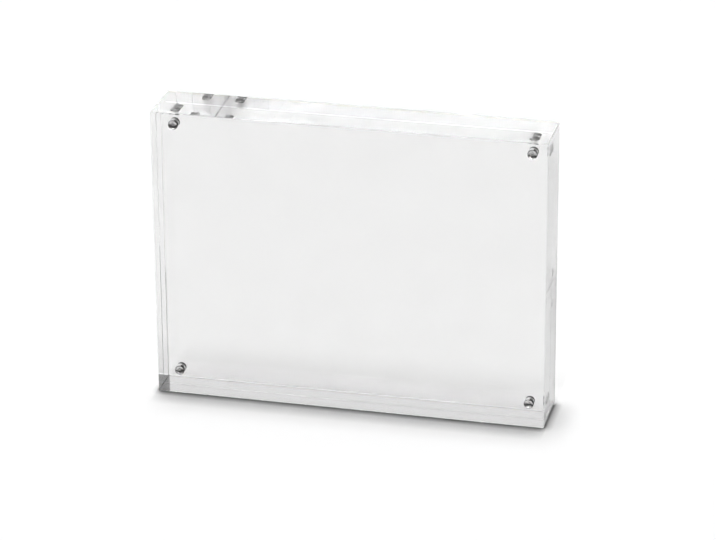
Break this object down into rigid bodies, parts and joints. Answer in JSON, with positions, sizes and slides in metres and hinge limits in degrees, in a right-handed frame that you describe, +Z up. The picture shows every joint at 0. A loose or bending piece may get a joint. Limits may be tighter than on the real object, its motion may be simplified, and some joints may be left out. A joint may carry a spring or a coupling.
{
  "type": "block picture frame",
  "caption": "Clear block picture frame: two polished blocks held face to face by magnet pairs; the front one pulls off to load a print.",
  "frame": {"origin": "middle of the base, 0.2 mm in front of the seam between the two blocks", "axes": "+X along the width, the front faces -Y, +Z up"},
  "size_m": [0.165, 0.0254, 0.126],
  "materials": {
    "acrylic": "clear, cast and polished",
    "nickel": "bright nickel plate",
    "adhesive": "cured clear"
  },
  "bodies": {
    "rear": {"rear_block": "acrylic", "rear_magnet_top_left": "nickel", "rear_magnet_top_right": "nickel", "rear_magnet_bottom_left": "nickel", "rear_magnet_bottom_right": "nickel", "rear_adhesive_top_left": "adhesive", "rear_adhesive_top_right": "adhesive", "rear_adhesive_bottom_left": "adhesive", "rear_adhesive_bottom_right": "adhesive"},
    "front": {"front_block": "acrylic", "front_magnet_top_left": "nickel", "front_magnet_top_right": "nickel", "front_magnet_bottom_left": "nickel", "front_magnet_bottom_right": "nickel", "front_adhesive_top_left": "adhesive", "front_adhesive_top_right": "adhesive", "front_adhesive_bottom_left": "adhesive", "front_adhesive_bottom_right": "adhesive"}
  },
  "joints": [
    {"name": "front_pull_off", "type": "slide", "parent": "rear", "child": "front", "axis": [0, -1, 0], "range_m": [0, 0.06]}
  ]
}
